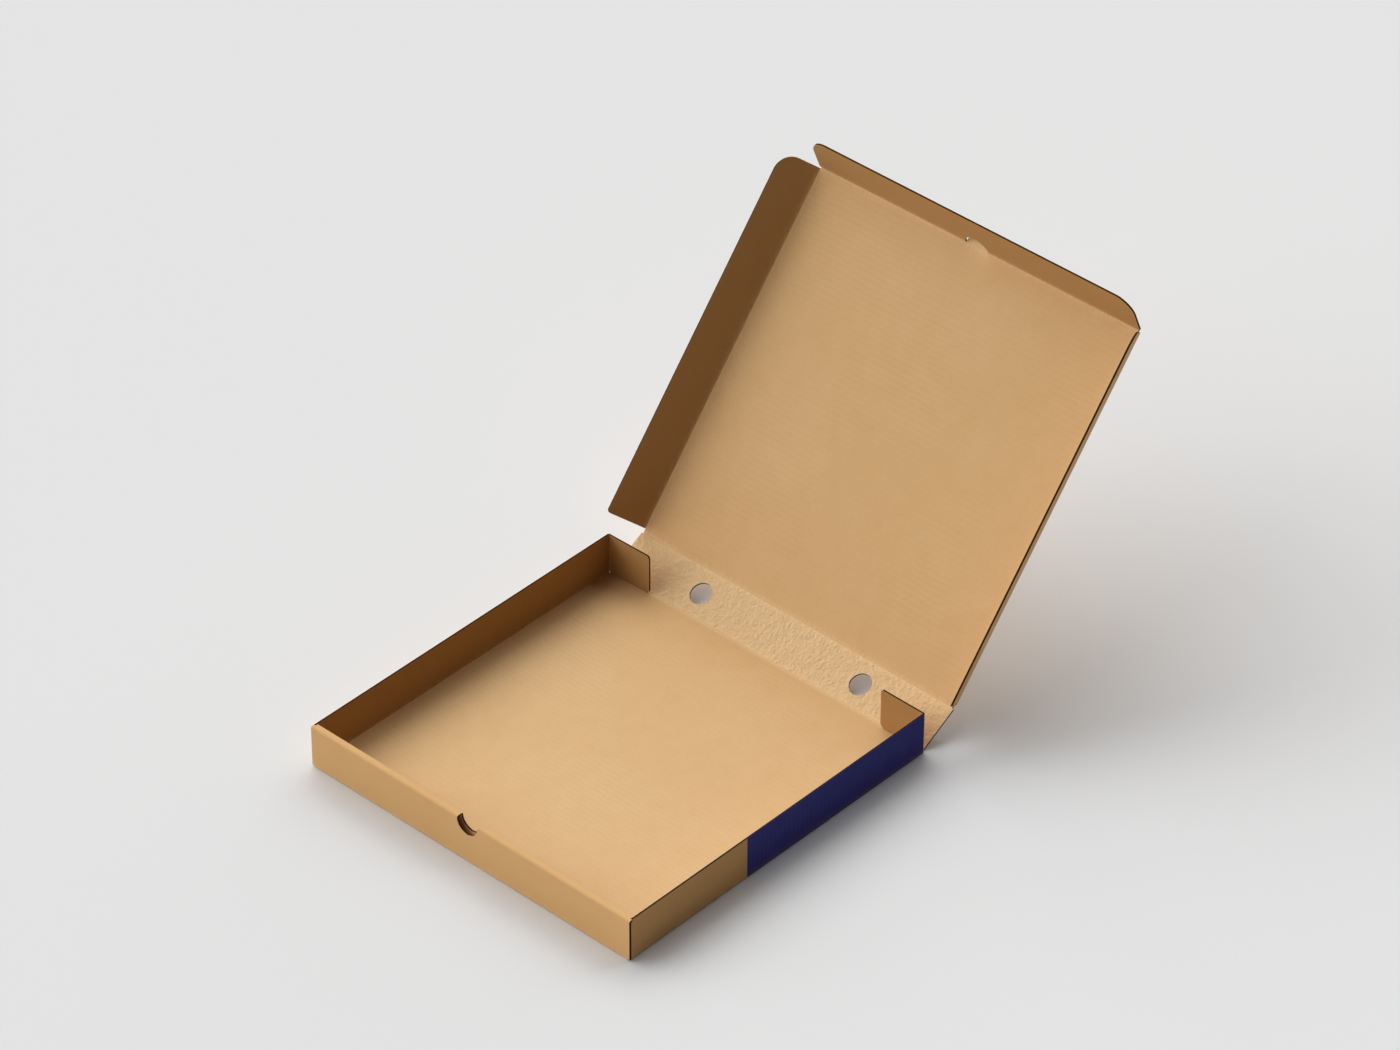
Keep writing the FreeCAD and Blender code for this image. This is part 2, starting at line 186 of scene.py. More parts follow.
class FlapSizes(PropertyGroup):
    """The lid's flaps and thumb tab, and the dust flaps"""

    depth: FloatProperty(
        name="Lid flap depth", description="Fold line to free edge of the lid's flaps",
        default=0.0358, unit="LENGTH")
    rear_start: FloatProperty(
        name="Side flap start", description="Rear fold of the lid to the side flaps",
        default=0.0034, unit="LENGTH")
    front_stop: FloatProperty(
        name="Side flap stop", description="Side flaps to the front fold of the lid",
        default=0.00145, unit="LENGTH")
    front_corner: FloatProperty(
        name="Front corner", description="Radius of the flaps' front corners", default=0.016,
        unit="LENGTH")
    rear_corner: FloatProperty(
        name="Rear corner", description="Radius of the side flaps' rear corners", default=0.003,
        unit="LENGTH")
    tab_half: FloatProperty(
        name="Half thumb tab", description="Half the width of the thumb tab", default=0.0114,
        unit="LENGTH")
    tab_reach: FloatProperty(
        name="Tab reach", description="Front fold to the tip of the thumb tab", default=0.011,
        unit="LENGTH")
    tab_gap: FloatProperty(
        name="Tab gap", description="Gap around the thumb tab", default=0.0003, unit="LENGTH")
    tab_shoulder: FloatProperty(
        name="Tab shoulder", description="Front fold to the narrowing of the tab's slot",
        default=0.0012, unit="LENGTH")
    dust_length: FloatProperty(
        name="Dust flap", description="Fold line to free edge of a dust flap", default=0.0426,
        unit="LENGTH")
    dust_corner: FloatProperty(
        name="Dust flap corner", description="Radius of a dust flap's top corner",
        default=0.003, unit="LENGTH")
    dust_heel: FloatProperty(
        name="Dust flap heel", description="Radius of a dust flap's lower corner",
        default=0.004, unit="LENGTH")
    dust_splay: FloatProperty(
        name="Dust flap splay", description="Outward lean of the dust flaps",
        default=math.radians(0.6), subtype="ANGLE")


class Finish(PropertyGroup):
    """Colours of the board, its painted shade and its print"""

    inside_deep: FloatVectorProperty(
        name="Inside, deep", description="Deeper tone of the inner liner", size=3,
        subtype="COLOR", min=0, max=1, default=(0.63, 0.36, 0.14))
    inside_pale: FloatVectorProperty(
        name="Inside, pale", description="Paler tone of the inner liner", size=3,
        subtype="COLOR", min=0, max=1, default=(0.76, 0.52, 0.275))
    outside_deep: FloatVectorProperty(
        name="Outside, deep", description="Deeper tone of the outer liner", size=3,
        subtype="COLOR", min=0, max=1, default=(0.62, 0.345, 0.13))
    outside_pale: FloatVectorProperty(
        name="Outside, pale", description="Paler tone of the outer liner", size=3,
        subtype="COLOR", min=0, max=1, default=(0.72, 0.44, 0.19))
    # Painted shade: the dark colour taken by panels in shade, most the side walls and flaps.
    brown: FloatVectorProperty(
        name="Browned", description="Tone of the liners where a panel is browner", size=3,
        subtype="COLOR", min=0, max=1, default=(0.345, 0.178, 0.052))
    # Painted shade: the hollows are coloured near black for the shade inside them.
    cut: FloatVectorProperty(
        name="Hollows", description="Inside of the hollows between the flutes", size=3,
        subtype="COLOR", min=0, max=1, default=(0.025, 0.011, 0.004))
    # Partly painted shade: the fluting and cut edges are a darker brown than the paper, and darker
    # still for the shade in the flutes.
    fluting: FloatVectorProperty(
        name="Fluting", description="Fluting and cut edges of the liners", size=3,
        subtype="COLOR", min=0, max=1, default=(0.06, 0.028, 0.01))
    ink: FloatVectorProperty(
        name="Print", description="Field of colour on the right wall", size=3,
        subtype="COLOR", min=0, max=1, default=(0.013, 0.012, 0.115))
    ink_start: FloatProperty(
        name="Print start", description="Where the field of colour starts on the right wall",
        default=-0.0375, unit="LENGTH")


class StageSettings(PropertyGroup):
    """Floor, lamps and camera"""

    floor: FloatVectorProperty(
        name="Floor", description="Colour of the floor", size=3, subtype="COLOR", min=0, max=1,
        default=(0.73, 0.73, 0.73))
    key: FloatProperty(
        name="Key light", description="Strength of the light from the left", default=1.65)
    side: FloatProperty(
        name="Side light", description="Strength of the low light from the left", default=1.2)
    front: FloatProperty(
        name="Front light", description="Strength of the light from the front left",
        default=1.1)
    back: FloatProperty(
        name="Back light", description="Strength of the light from behind", default=1.45)
    ambient: FloatProperty(
        name="Room light", description="Strength of the light from all around", default=0.02)
    backdrop: FloatProperty(
        name="Backdrop", description="Level of the plain room that the camera sees",
        default=0.753)


GROUPS = {
    "box_board": BoardSizes, "box_tray": TraySizes, "box_flaps": FlapSizes,
    "box_finish": Finish, "box_stage": StageSettings,
}


# Where each panel lies


class Place:
    """Axes of a panel: along its flutes, along its run, and towards the box's inside."""

    def __init__(self, origin, along, run, inward):
        self.origin, self.along = np.asarray(origin, float), np.asarray(along, float)
        self.run, self.inward = np.asarray(run, float), np.asarray(inward, float)

    def points(self, u, a, b):
        """origin + u along + a run + b inward, for arrays of one shape."""
        return (self.origin + u[..., None] * self.along + a[..., None] * self.run
                + b[..., None] * self.inward)

    def shifted(self, along=0.0, run=0.0, inward=0.0):
        """The same axes at another origin."""
        origin = self.origin + along * self.along + run * self.run + inward * self.inward
        return Place(origin, self.along, self.run, self.inward)


def turned(vector, axis, angle):
    """v cos t + (k x v) sin t + k (k . v)(1 - cos t), for a unit axis k."""
    return (vector * math.cos(angle) + np.cross(axis, vector) * math.sin(angle)
            + axis * np.dot(axis, vector) * (1 - math.cos(angle)))


def fold_point(name):
    """A point on a fold line."""
    return np.array(FOLDS[name]["pos_m"], float)


def fold_angle(name):
    """How far a fold is turned at rest, counted from the flat board."""
    return math.radians(FLAT_LIMIT - FOLDS[name]["range_deg"][0])


def places():
    """The place of every panel, worked out from the frame's fold lines."""
    board = bpy.context.scene.box_board
    flaps = bpy.context.scene.box_flaps
    low, high = (np.array(corner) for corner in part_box("tray"))
    rear, hinge = fold_point("rear_wall_fold"), fold_point("lid_fold")
    front = fold_point("lid_front_flap_fold")
    lean = (hinge - rear) / np.linalg.norm(hinge - rear)
    slope = (front - hinge) / np.linalg.norm(front - hinge)
    found = {
        "tray": Place(np.zeros(3), X, Y, Z),
        "base": Place(Z * board.thickness / 2, X, Y, Z),
        "rear_wall": Place(rear, X, lean, np.cross(X, lean)),
        "lid": Place(hinge, X, slope, np.cross(X, slope)),
    }
    inward = found["lid"].inward
    turn = fold_angle("lid_front_flap_fold")
    found["lid_front_flap"] = Place(front, X, turned(slope, X, turn), turned(inward, X, turn))
    for side, sign in (("left", -1), ("right", 1)):
        turn = fold_angle("lid_%s_flap_fold" % side)
        axis = slope * -sign
        found["lid_%s_flap" % side] = Place(
            fold_point("lid_%s_flap_fold" % side), turned(X * sign, axis, turn), slope,
            turned(inward, axis, turn))
        found["%s_wall" % side] = Place(
            X * sign * (high[0] - board.thickness / 2), Z, Y, X * -sign)
        fold = fold_point("%s_dust_flap_fold" % side) * (1, 1, 0)
        splay = -flaps.dust_splay * sign
        found["%s_dust_flap" % side] = Place(
            fold, Z, turned(X * -sign, Z, splay), turned(-Y, Z, splay))
    found["low"], found["high"] = low, high
    found["wall_length"] = float(np.linalg.norm(hinge - rear))
    found["lid_length"] = float(np.linalg.norm(front - hinge))
    found["lid_half"] = float(fold_point("lid_right_flap_fold")[0])
    return found


# Board surfaces


class BoardMesh:
    """Gathers closed shells and makes one mesh of them."""

    def __init__(self, name):
        self.name = name
        self.points, self.coords, self.marks, self.faces, self.slots = [], [], [], [], []
        self.count = 0

    def shell(self, place, low, high, length, left, right, parts, slots,
              bow=None, worn=(), tone=0.0, crumple=0.0, swap=False):
        """Closed shell ruled along the flutes between two section lines.

        With q from 0 to 1 across, S(q, v) = place of ((1 - q) left(v) + q right(v),
        line(v)), where line is low for the back surface and high for the front one.
        The four strips between the two surfaces close it. Wear is exp(-d / reach) of
        the distance d from each worn edge. slots are those of the back, the front and
        the strips. tone, the panel's painted light and shade, is a number or a
        function of the run.
        """
        rows = len(length)
        left = np.broadcast_to(left, rows).astype(float)
        right = np.broadcast_to(right, rows).astype(float)
        share = across(parts, float(np.max(right - left)))
        columns = len(share)
        u = left[:, None] * (1 - share) + right[:, None] * share
        surfaces = []
        for line in (high, low):
            a = np.repeat(line[:, :1], columns, 1)
            b = np.repeat(line[:, 1:], columns, 1)
            if bow is not None:
                b = b + bow(u, a)
            surfaces.append(place.points(u, a, b))
        grid = np.arange(rows * columns).reshape(rows, columns)
        top, under = grid, grid + rows * columns
        wear = np.zeros((rows, columns))
        for edge in worn:
            distance = {
                "left": u - left[:, None], "right": right[:, None] - u,
                "start": np.repeat((length - length[0])[:, None], columns, 1),
                "end": np.repeat((length[-1] - length)[:, None], columns, 1),
            }[edge]
            wear = np.maximum(wear, np.exp(-np.abs(distance) / WEAR_REACH))
        flat = np.stack([u, np.repeat(length[:, None], columns, 1)], -1)
        if swap:
            flat = flat[..., ::-1]
        # The panel's painted light and shade, carried in its tone mark.
        shade = tone(length)[:, None] if callable(tone) else tone
        shade = np.broadcast_to(shade, wear.shape)
        marks = np.stack([wear, shade, np.full_like(wear, crumple)], -1)
        groups = [
            (quads(top), slots[1]), (quads(under)[:, ::-1], slots[0]),
            (quads(np.stack([under[:, 0], top[:, 0]], 1)), slots[2]),
            (quads(np.stack([top[:, -1], under[:, -1]], 1)), slots[2]),
            (quads(np.stack([under[0], top[0]], 0)), slots[2]),
            (quads(np.stack([top[-1], under[-1]], 0)), slots[2]),
        ]
        tangent = high[1] - high[0]
        inward = high[0] - low[0]
        forward = tangent[0] * place.run + tangent[1] * place.inward
        facing = inward[0] * place.run + inward[1] * place.inward
        handed = np.dot(np.cross(place.along, forward), facing) > 0
        for face, slot in groups:
            face = face + self.count
            self.faces.append(face if handed else face[:, ::-1])
            self.slots.append(np.full(len(face), slot, np.int32))
        for surface in surfaces:
            self.points.append(surface.reshape(-1, 3))
            self.coords.append(flat.reshape(-1, 2))
            self.marks.append(marks.reshape(-1, 3))
        self.count += 2 * rows * columns

    def board(self, place, path, spans, outer=OUTSIDE, start=0.0, parts=20, **more):
        """A run of corrugated board along a path: two liners with a wave between them.

        path(v) gives the middle line and its inward normal. Each span gives left(v)
        and right(v). The wave's offset from the middle line is A sin(2 pi v / pitch).
        """
        board = bpy.context.scene.box_board
        half, liner, medium = board.thickness / 2, board.liner, board.medium
        rows = path.rows
        middle, normal = path.at(rows)
        waves = path.fine(board.pitch)
        wave_middle, wave_normal = path.at(waves)
        height = half - liner - medium / 2
        turn = 2 * math.pi / board.pitch
        wave = height * np.sin(turn * (waves + start))
        slope = height * turn * np.cos(turn * (waves + start))
        web = medium / 2 * np.sqrt(1 + slope ** 2)
        bounded = np.minimum(web, half - liner - np.abs(wave) + FLUTING_SINK)
        for left, right in spans:
            # The outer liner's face towards the hollows and its cut edges take the fluting's
            # colour, dark partly as painted shade.
            lines = [middle + normal * offset for offset in (-half, liner - half)]
            self.shell(place, *lines, rows + start, left(rows), right(rows), parts,
                       (outer, FLUTE, FLUTE), **more)
            # The inner liner's face towards the hollows is painted shade.
            lines = [middle + normal * offset for offset in (half - liner, half)]
            self.shell(place, *lines, rows + start, left(rows), right(rows), parts,
                       (HOLLOW_SHADE, INSIDE, FLUTE), **more)
            # The fluting's face towards the inner liner is painted shade, as in the hollows.
            inset_left = left(waves) + board.recess
            inset_right = np.maximum(right(waves) - board.recess, inset_left)
            lines = [wave_middle + wave_normal * (wave + side * bounded)[:, None]
                     for side in (-1, 1)]
            plain = {key: more[key] for key in ("bow", "tone") if key in more}
            self.shell(place, *lines, waves + start, inset_left, inset_right,
                       parts if "bow" in more else 1, (FLUTE, HOLLOW_SHADE, FLUTE), **plain)

    def build(self, slot_materials):
        """Mesh object at the origin, with its flat-sheet map and its marks."""
        points = np.concatenate(self.points)
        faces = np.concatenate(self.faces)
        mesh = bpy.data.meshes.new(self.name)
        mesh.vertices.add(len(points))
        mesh.vertices.foreach_set("co", points.ravel())
        mesh.loops.add(faces.size)
        mesh.loops.foreach_set("vertex_index", faces.ravel())
        mesh.polygons.add(len(faces))
        mesh.polygons.foreach_set("loop_start", np.arange(0, faces.size, 4))
        mesh.polygons.foreach_set("loop_total", np.full(len(faces), 4))
        mesh.polygons.foreach_set("material_index", np.concatenate(self.slots))
        flat = mesh.uv_layers.new(name="flat_sheet")
        flat.data.foreach_set("uv", np.concatenate(self.coords)[faces.ravel()].ravel())
        marks = np.concatenate(self.marks)
        # The tone mark carries each panel's painted light and shade.
        for column, name in enumerate(("wear", "tone", "crumple")):
            layer = mesh.attributes.new(name, "FLOAT", "POINT")
            layer.data.foreach_set("value", marks[:, column].astype(np.float32))
        mesh.update(calc_edges=True)
        mesh.validate()
        mesh.shade_smooth()
        mesh.set_sharp_from_angle(angle=math.radians(SHARP_ANGLE))
        for material in slot_materials:
            mesh.materials.append(material)
        return add_object(self.name, mesh)


def add_object(name, data):
    """A new object in the scene, unturned and at the origin."""
    item = bpy.data.objects.new(name, data)
    bpy.context.scene.collection.objects.link(item)
    return item


def quads(grid):
    """Quads of a grid of point numbers, turning from columns to rows."""
    corners = (grid[:-1, :-1], grid[:-1, 1:], grid[1:, 1:], grid[1:, :-1])
    return np.stack([corner.ravel() for corner in corners], 1)


def across(parts, width):
    """Shares from 0 to 1, closer together near both ends of a wide strip."""
    if parts < 3 or width < 2 * EDGE_MARGIN:
        return np.linspace(0, 1, parts + 1)
    near = np.append(0.0, EDGE_STEPS) / width
    margin = EDGE_MARGIN / width
    return np.unique(np.concatenate([near, 1 - near, np.linspace(margin, 1 - margin, parts)]))


class Straight:
    """A straight run of board from start to stop.

    Its rows lie a step apart. Over each dense stretch they are spaced like the cosines
    of even angles, so that a round outline stays smooth.
    """

    def __init__(self, start, stop, offset=0.0, dense=(), step=0.012):
        self.start, self.stop, self.offset = start, stop, offset
        rows = [np.linspace(start, stop, max(2, int((stop - start) / step) + 1)),
                start + EDGE_STEPS, stop - EDGE_STEPS]
        for low, high in dense:
            turn = np.linspace(0, math.pi, DENSE_ROWS)
            rows.append((low + high) / 2 - (high - low) / 2 * np.cos(turn))
        rows = np.unique(np.clip(np.concatenate(rows), start, stop))
        self.rows = rows[np.append(np.diff(rows) > 1e-8, True)]

    def fine(self, pitch):
        """Rows for the wave."""
        count = int((self.stop - self.start) / pitch * STRAIGHT_WAVE) + 2
        return np.linspace(self.start, self.stop, count)

    def at(self, rows):
        """Middle line (v, offset) and its normal (0, 1)."""
        return (np.stack([rows, np.full_like(rows, self.offset)], 1),
                np.repeat([[0.0, 1.0]], len(rows), 0))


class Rolled:
    """The front wall's run: up the outer layer, over two bends, down the inner one."""

    def __init__(self, front, height, roll, half, bend, foot_out, foot_in):
        self.front, self.half, self.bend, self.foot = front, half, bend, foot_out
        self.rise = height - half - bend - foot_out
        self.quarter = math.pi / 2 * bend
        self.top = 2 * (roll - half - bend)
        self.second = self.rise + self.quarter + self.top
        self.fall = self.second + self.quarter
        self.over = self.rise + self.quarter + self.top / 2
        self.start, self.stop = 0.0, self.fall + height - half - bend - foot_in
        turn = self.quarter * np.linspace(0, 1, BEND_ROWS)
        self.rows = np.unique(np.concatenate([
            np.linspace(0, self.rise, LAYER_ROWS), self.rise + turn, self.second + turn,
            [self.over - JUMP, self.over],
            np.linspace(self.fall, self.stop, LAYER_ROWS)]).round(8))

    def fine(self, pitch):
        """Rows for the wave."""
        count = int((self.stop - self.start) / pitch * ROLLED_WAVE) + 2
        return np.linspace(self.start, self.stop, count)

    def at(self, rows):
        """Line (y, z) and its inward normal (cos(p + q), -sin(p + q)).

        p and q run from 0 to a quarter turn along the two bends of radius r:
        y = front + half + r (1 - cos p) + flat + r sin q,
        z = foot + rise + r sin p - r (1 - cos q) - fall.
        """
        first = np.clip((rows - self.rise) / self.quarter, 0, 1) * math.pi / 2
        second = np.clip((rows - self.second) / self.quarter, 0, 1) * math.pi / 2
        flat = np.clip(rows - self.rise - self.quarter, 0, self.top)
        y = self.front + self.half + self.bend * (1 - np.cos(first) + np.sin(second)) + flat
        z = self.foot + np.minimum(rows, self.rise) - np.maximum(rows - self.fall, 0)
        z = z + self.bend * (np.sin(first) - 1 + np.cos(second))
        turn = first + second
        return np.stack([y, z], 1), np.stack([np.cos(turn), -np.sin(turn)], 1)


def constant(value):
    """A straight edge."""
    return lambda rows: np.full_like(rows, value)


def rounded(edge, sign, low, high, low_radius, high_radius):
    """An edge whose two corners are rounded: edge - sign (r - sqrt(r^2 - (r - d)^2))."""
    def outline(rows):
        value = np.full_like(rows, edge)
        for distance, radius in ((rows - low, low_radius), (high - rows, high_radius)):
            inside = np.clip(radius - distance, 0, radius)
            value = value - sign * (radius - np.sqrt(radius ** 2 - inside ** 2))
        return value
    return outline


def holed(middle, sign, centre, radius):
    """The side of a round hole: middle + sign sqrt(r^2 - (v - c)^2), or middle off it."""
    def outline(rows):
        return middle + sign * np.sqrt(np.clip(radius ** 2 - (rows - centre) ** 2, 0, None))
    return outline


def crease(mesh, place, angle, left, right, swap, tone):
    """Creased board across a fold: flat outer line, grooved inner line, both bent.

    A point (y, w) of the flat section turns about the fold line by angle s(y), with s
    the smooth step 3 t^2 - 2 t^3 of t = (y + e) / 2e. The inner line is
    h - g cos^2(pi y / 2e), h half the board and g the depth of the groove.
    """
    board = bpy.context.scene.box_board
    reach, half = board.crease, board.thickness / 2
    y = np.linspace(-reach, reach, CREASE_ROWS)
    t = (y + reach) / (2 * reach)
    turn = angle * t * t * (3 - 2 * t)
    lines = []
    for w in (np.full_like(y, -half),
              half - board.groove * np.cos(math.pi / 2 * y / reach) ** 2):
        lines.append(np.stack([y * np.cos(turn) - w * np.sin(turn),
                               y * np.sin(turn) + w * np.cos(turn)], 1))
    # The crease's ends take the painted shade of the hollows.
    mesh.shell(place, *lines, y, left, right, CREASE_STRIPS, (OUTSIDE, INSIDE, HOLLOW_SHADE),
               worn=("start", "end"), tone=tone, swap=swap)


def quarter(mesh, place, start, stop, left, right, outer=OUTSIDE, swap=False):
    """Quarter-round fold: t (cos p, sin p) about the inner corner, p from start to stop."""
    board = bpy.context.scene.box_board
    p = np.linspace(start, stop, BEND_ROWS)
    ray = np.stack([np.cos(p), np.sin(p)], 1)
    # The fold's ends take the painted shade of the hollows.
    mesh.shell(place, ray * board.thickness, ray * FOLD_HEART,
               board.thickness * np.abs(p - start), left, right, CREASE_STRIPS,
               (outer, INSIDE, HOLLOW_SHADE), swap=swap)


def finish_piece(mesh, body, *nodes):
    """Build a mesh, put it on its body and let it stand for its CAD nodes."""
    item = mesh.build(board_materials())
    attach(item, body)
    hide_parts(*nodes)


# Materials


# The paper's noises: scale, detail and, for those laid on the flat sheet, their stretch.
NOISES = {
    "cloud": (7.0, 4.0), "patch": (9.0, 3.0), "wander": (22.0, 2.0), "swell": (38.0, 2.0),
    "blotch": (55.0, 3.0), "dimple": (120.0, 1.0), "crush": (150.0, 3.0),
    "crumb": (420.0, 2.0), "grain": (420.0, 3.0), "fibre": (1.0, 3.0, (2600.0, 420.0, 1.0)),
    "strand": (1.0, 2.0, (950.0, 130.0, 1.0)), "speck": (1.0, 1.0, (1300.0, 520.0, 1.0)),
}

# Levels of a noise between which its marks rise from nothing to full.
LEVELS = {"patch": (-0.12, 0.16), "dimple": (0.2, 0.27), "speck": (0.235, 0.27)}

# How much each of them weighs in the paper's tone, its relief and the print's thinness.
TONE_WEIGHTS = {"cloud": 0.55, "blotch": 0.32, "fibre": 0.42, "strand": 0.22, "grain": 0.7}
RELIEF_WEIGHTS = {"fibre": 0.035, "swell": 0.16, "dimple": 0.05, "crush": 1.1, "fray": 0.12}
INK_WEIGHTS = {"flutes": 0.1, "fibre": 0.5}

# Radians that the flutes wander by, and how much of them shows outside the patches.
FLUTE_WANDER, FLUTE_FAINT = 5.0, 0.2

# How strongly the flutes show and the painted shade colour is taken up, inside and outside, and
# the tone at which the painted shade starts.
RIPPLE_IN, RIPPLE_OUT = 0.05, 0.012
PAINTED_SHADE_IN, PAINTED_SHADE_OUT = 2.5, 1.0
PAINTED_SHADE_LIMIT = 0.1

# Shares and shades of specks and of rubbed edges.
SPECK_SHARE, SPECK_SHADE = 0.4, 0.45
RUB_SHARE, RUB_STRAND, RUB_SHADE = 0.35, 1.4, 1.18

# The print: metres that its edge is ragged and soft by, its thin share, the shade and
# lift of its thin parts, and how much of it a rubbed edge loses.
INK_RAGGED, INK_SOFT = 0.00035, 0.0001
INK_THIN, INK_SHADE, INK_LIFT, INK_SCUFF = 0.3, 1.9, 0.006, 0.5

# Cut edges: the noise of their frays and its levels, the frays' shade, and the noise of
# their relief.
FRAY_NOISE, FRAY_LEVELS, FRAY_SHADE = (900.0, 3.0), (-0.05, 0.25), 1.6
CUT_NOISE = (1500.0, 2.0)

# Metres of relief in the paper and in its cut edges.
PAPER_RELIEF, CUT_RELIEF = 0.001, 0.0002

# Gloss of every surface, the roughness of each, and how much the blotches change it.
GLOSS = 0.28
PAPER_ROUGHNESS, CUT_ROUGHNESS, FLOOR_ROUGHNESS = 0.8, 0.95, 0.9
BLOTCH_ROUGHNESS = 0.25


class Nodes:
    """Short ways to add and join a material's nodes."""

    def __init__(self, tree):
        self.tree = tree

    def feed(self, item, inputs):
        """Give a node its inputs by name or number, each a value or another's output."""
        for key, value in inputs.items():
            if isinstance(value, bpy.types.NodeSocket):
                self.tree.links.new(value, item.inputs[key])
            else:
                item.inputs[key].default_value = value

    def add(self, kind, inputs=None, **settings):
        """A node with its settings and its inputs."""
        item = self.tree.nodes.new(kind)
        for key, value in settings.items():
            setattr(item, key, value)
        self.feed(item, inputs or {})
        return item

    def math(self, operation, first, second=0.0, clamp=False):
        """One arithmetic step."""
        return self.add("ShaderNodeMath", {0: first, 1: second}, operation=operation,
                        use_clamp=clamp).outputs[0]

    def plus(self, first, second, clamp=False):
        """Sum of two."""
        return self.math("ADD", first, second, clamp)

    def times(self, first, second, clamp=False):
        """Product of two."""
        return self.math("MULTIPLY", first, second, clamp)

    def total(self, start, weights, values):
        """The start, and each value times its weight, added up."""
        for key, weight in weights.items():
            start = self.plus(start, self.times(values[key], weight))
        return start

    def noise(self, vector, scale, detail, stretch=None):
        """Noise about zero, on a vector that may be stretched first."""
        if stretch is not None:
            vector = self.add("ShaderNodeMapping", {"Vector": vector, "Scale": stretch}).outputs[0]
        item = self.add("ShaderNodeTexNoise", {"Vector": vector, "Scale": scale, "Detail": detail})
        return self.math("SUBTRACT", item.outputs["Fac"], 0.5)

    def mix(self, share, first, second):
        """Two colours mixed."""
        return self.add("ShaderNodeMix", {0: share, 6: first, 7: second},
                        data_type="RGBA").outputs[2]

    def mark(self, name):
        """A mark that the mesh carries on its points."""
        return self.add("ShaderNodeAttribute", attribute_name=name).outputs["Fac"]

    def step(self, value, low, high):
        """0 below low, 1 above high, smooth between."""
        item = self.add("ShaderNodeMapRange", {"Value": value, "From Min": low, "From Max": high},
                        interpolation_type="SMOOTHSTEP", clamp=True)
        return item.outputs["Result"]

    def bump(self, height, distance):
        """Surface direction bent by a relief."""
        return self.add("ShaderNodeBump", {"Height": height, "Distance": distance,
                                           "Strength": 1.0}).outputs[0]


def new_material(name, roughness):
    """Empty material with one shader: the material, its nodes and its shader."""
    material = bpy.data.materials.new(name)
    material.use_nodes = True
    material.node_tree.nodes.clear()
    nodes = Nodes(material.node_tree)
    shader = nodes.add("ShaderNodeBsdfPrincipled", {"Roughness": roughness,
                                                    "Specular IOR Level": GLOSS})
    nodes.add("ShaderNodeOutputMaterial", {0: shader.outputs[0]})
    return material, nodes, shader


def rgba(colour, shade=1.0, lift=0.0):
    """A colour with its alpha, which may be made deeper or paler."""
    return (*(min(1.0, part * shade + lift) for part in colour), 1.0)


def kraft(name, deep, pale, ripple, painted_shading, ink=None):
    """Kraft liner: cloudy tone, paper fibres, specks, and the flutes showing through.

    A panel's tone t is its painted light and shade: it moves the colour towards the pale
    or the deep tone, and where -s (t + limit) is above zero, s the shading strength given,
    the liner takes the painted shade colour by that share. Its flutes are
    sin(2 pi v / pitch + wander) along the run v.
    """
    board = bpy.context.scene.box_board
    finish = bpy.context.scene.box_finish
    _, nodes, shader = new_material(name, PAPER_ROUGHNESS)
    flat = nodes.add("ShaderNodeUVMap", uv_map="flat_sheet").outputs[0]
    place = nodes.add("ShaderNodeTexCoord").outputs["Object"]
    paper = {key: nodes.noise(flat if stretch else place, scale, detail, *stretch)
             for key, (scale, detail, *stretch) in NOISES.items()}
    for key, levels in LEVELS.items():
        paper[key] = nodes.step(paper[key], *levels)
    wear, tone, crumple = (nodes.mark(key) for key in ("wear", "tone", "crumple"))
    run = nodes.add("ShaderNodeSeparateXYZ", {0: flat}).outputs[1]
    phase = nodes.plus(nodes.times(run, 2 * math.pi / board.pitch),
                       nodes.times(paper["wander"], FLUTE_WANDER))
    shown = nodes.plus(nodes.times(paper["patch"], 1 - FLUTE_FAINT), FLUTE_FAINT)
    paper["flutes"] = nodes.times(nodes.math("SINE", phase), shown)
    paper["grain"] = nodes.times(crumple, paper["grain"])
    paper["crush"] = nodes.times(crumple, nodes.plus(paper["crush"], paper["crumb"]))
    paper["fray"] = nodes.times(wear, paper["strand"])

    # The tone mark, the panel's painted light and shade, moves the colour towards the pale or the
    # deep tone.
    share = nodes.total(nodes.plus(0.5, tone), {**TONE_WEIGHTS, "flutes": ripple}, paper)
    colour = nodes.mix(nodes.plus(share, 0.0, clamp=True), rgba(deep), rgba(pale))
    # Painted shade: a panel whose tone is low takes the darker painted shade colour.
    brown = nodes.times(nodes.plus(tone, PAINTED_SHADE_LIMIT), -painted_shading, clamp=True)
    colour = nodes.mix(brown, colour, rgba(finish.brown))
    speck = nodes.times(paper["speck"], SPECK_SHARE)
    colour = nodes.mix(speck, colour, rgba(deep, SPECK_SHADE))
    rub = nodes.plus(nodes.times(paper["strand"], RUB_STRAND), RUB_SHARE)
    rub = nodes.times(wear, rub, clamp=True)
    colour = nodes.mix(rub, colour, rgba(pale, RUB_SHADE))
    if ink is not None:
        depth = nodes.add("ShaderNodeSeparateXYZ", {0: place}).outputs[1]
        ragged = nodes.plus(depth, nodes.times(paper["fibre"], INK_RAGGED))
        field = nodes.step(ragged, finish.ink_start - INK_SOFT, finish.ink_start + INK_SOFT)
        thin = nodes.plus(nodes.total(INK_THIN, INK_WEIGHTS, paper), 0.0, clamp=True)
        print_tone = nodes.mix(thin, rgba(ink), rgba(ink, INK_SHADE, INK_LIFT))
        scuffed = nodes.math("SUBTRACT", field, nodes.times(rub, INK_SCUFF), clamp=True)
        colour = nodes.mix(scuffed, colour, print_tone)

    relief = nodes.total(nodes.times(paper["flutes"], ripple / 2), RELIEF_WEIGHTS, paper)
    nodes.feed(shader, {
        "Base Color": colour, "Normal": nodes.bump(relief, PAPER_RELIEF),
        "Roughness": nodes.plus(PAPER_ROUGHNESS, nodes.times(paper["blotch"], BLOTCH_ROUGHNESS)),
    })


